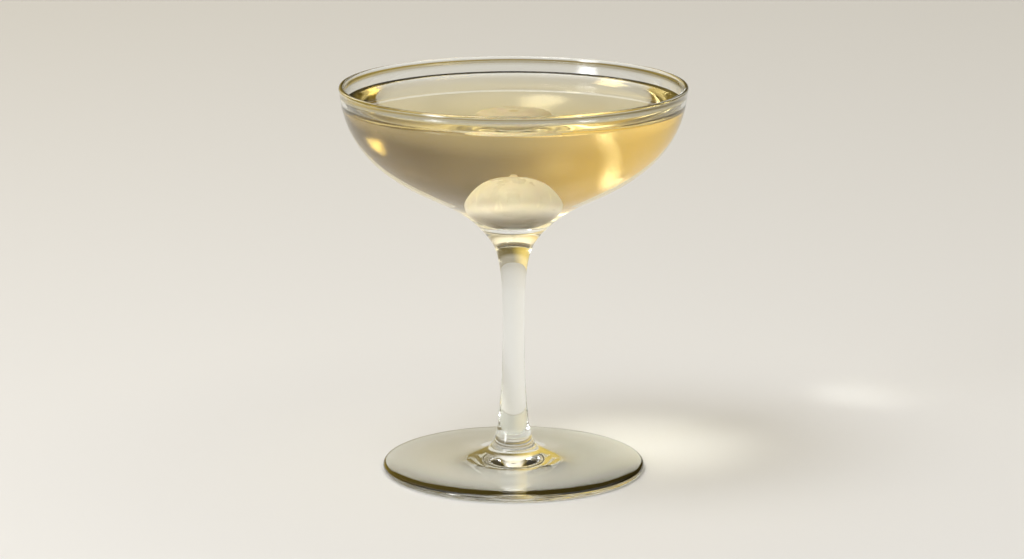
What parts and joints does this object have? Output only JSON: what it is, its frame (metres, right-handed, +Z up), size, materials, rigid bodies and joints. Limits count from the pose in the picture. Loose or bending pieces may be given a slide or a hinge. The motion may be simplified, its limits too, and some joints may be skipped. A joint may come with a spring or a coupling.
{
  "type": "martini cocktail in a coupe glass",
  "caption": "Stemmed coupe glass filled with a pale gold drink, with a white cocktail onion standing at the bottom of the bowl.",
  "frame": {"origin": "middle of the underside of the foot, on the table", "axes": "+Z up the stem, through the middle of the rim; every section is round, so X and Y are free"},
  "size_m": [0.092, 0.092, 0.104],
  "materials": {
    "clear_glass": "clear, fire-polished glass",
    "gold_drink": "clear pale gold liquid",
    "onion_flesh": "moist, smooth onion skin"
  },
  "bodies": {
    "root": {"glass": "clear_glass", "drink": "gold_drink", "onion": "onion_flesh"}
  },
  "joints": []
}
